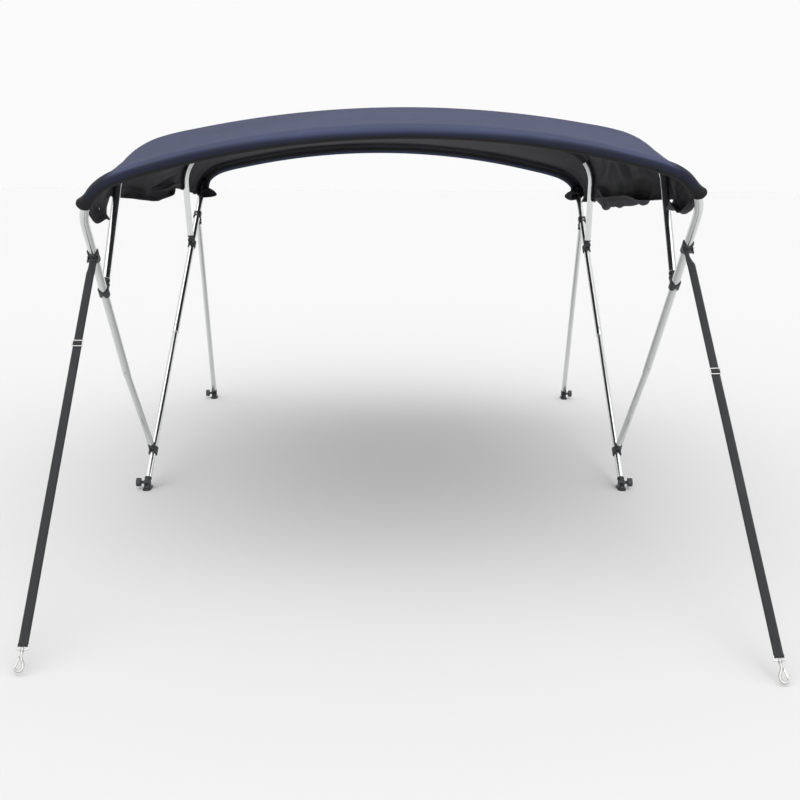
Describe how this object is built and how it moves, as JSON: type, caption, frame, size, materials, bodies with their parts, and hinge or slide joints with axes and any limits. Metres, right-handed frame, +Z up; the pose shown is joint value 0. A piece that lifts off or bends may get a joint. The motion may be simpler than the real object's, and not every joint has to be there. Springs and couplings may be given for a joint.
{
  "type": "bimini top with folding tube frame",
  "caption": "Bimini top: a sewn canopy over bent tube bows on deck hinges, with a folding frame, struts and two webbing straps with snap hooks.",
  "frame": {"origin": "point on the deck plane under the middle of the whole top", "axes": "+X to the right across the boat, +Y from the front of the canopy to its rear, +Z up"},
  "size_m": [1.8684, 3.1223, 1.3668],
  "materials": {
    "canopy_cloth": "woven",
    "pocket_cloth": "woven",
    "tube": "polished",
    "nylon": "satin",
    "webbing": "woven",
    "steel": "polished"
  },
  "bodies": {
    "frame": {"leg_front_left": "tube", "leg_front_right": "tube", "bow_front": "tube", "bow_second": "tube", "bow_third": "tube", "leg_main_left": "tube", "leg_main_right": "tube", "bow_main": "tube", "pole_left": "tube", "pole_right": "tube", "slide_front_left": "nylon", "slide_front_right": "nylon", "slide_third_left": "nylon", "slide_third_right": "nylon", "slide_pole_left": "nylon", "slide_pole_right": "nylon", "slide_second_left": "nylon", "slide_second_right": "nylon", "slide_strap_left": "nylon", "slide_strap_right": "nylon", "eye_front_left": "nylon", "eye_second_left": "nylon", "eye_third_left": "nylon", "eye_main_left": "nylon", "eye_pole_left": "nylon", "eye_rear_left": "nylon", "eye_front_right": "nylon", "eye_second_right": "nylon", "eye_third_right": "nylon", "eye_main_right": "nylon", "eye_pole_right": "nylon", "eye_rear_right": "nylon", "deck_hinge_main_left": "nylon", "deck_hinge_rear_left": "nylon", "deck_hinge_main_right": "nylon", "deck_hinge_rear_right": "nylon", "canopy": "canopy_cloth", "pocket_second": "pocket_cloth", "pocket_third": "pocket_cloth", "stud_left": "steel", "stud_right": "steel", "strap_left": "webbing", "glide_left": "steel", "snap_loop_left": "steel", "strap_right": "webbing", "glide_right": "steel", "snap_loop_right": "steel"},
    "knob_main_left": {"knob_main_left": "nylon"},
    "knob_rear_left": {"knob_rear_left": "nylon"},
    "knob_main_right": {"knob_main_right": "nylon"},
    "knob_rear_right": {"knob_rear_right": "nylon"},
    "snap_hook_left": {"snap_hook_left": "steel"},
    "snap_gate_left": {"snap_gate_left": "steel"},
    "snap_hook_right": {"snap_hook_right": "steel"},
    "snap_gate_right": {"snap_gate_right": "steel"}
  },
  "joints": [
    {"name": "knob_main_left_turn", "type": "hinge", "parent": "frame", "child": "knob_main_left", "pos_m": [-0.8945, -0.001, 0.024], "axis": [1, 0, 0], "continuous": true},
    {"name": "knob_main_right_turn", "type": "hinge", "parent": "frame", "child": "knob_main_right", "pos_m": [0.8575, -0.001, 0.024], "axis": [1, 0, 0], "continuous": true},
    {"name": "knob_rear_left_turn", "type": "hinge", "parent": "frame", "child": "knob_rear_left", "pos_m": [-0.8655, 1.527, 0.024], "axis": [1, 0, 0], "continuous": true},
    {"name": "knob_rear_right_turn", "type": "hinge", "parent": "frame", "child": "knob_rear_right", "pos_m": [0.8945, 1.527, 0.024], "axis": [1, 0, 0], "continuous": true},
    {"name": "snap_hook_left_swivel", "type": "hinge", "parent": "frame", "child": "snap_hook_left", "pos_m": [-0.9007, -1.46128, 0.04908], "axis": [-0.0135, -0.6855, -0.7279], "continuous": true},
    {"name": "snap_gate_left_open", "type": "hinge", "parent": "snap_hook_left", "child": "snap_gate_left", "pos_m": [-0.90651, -1.47186, 0.03785], "axis": [0, -0.728, 0.6856], "range_deg": [0, 20]},
    {"name": "snap_hook_right_swivel", "type": "hinge", "parent": "frame", "child": "snap_hook_right", "pos_m": [0.90697, -1.52343, 0.04423], "axis": [0.0315, -0.6956, -0.7177], "continuous": true},
    {"name": "snap_gate_right_open", "type": "hinge", "parent": "snap_hook_right", "child": "snap_gate_right", "pos_m": [0.91306, -1.53409, 0.03324], "axis": [0, 0.7181, -0.696], "range_deg": [0, 20]}
  ]
}
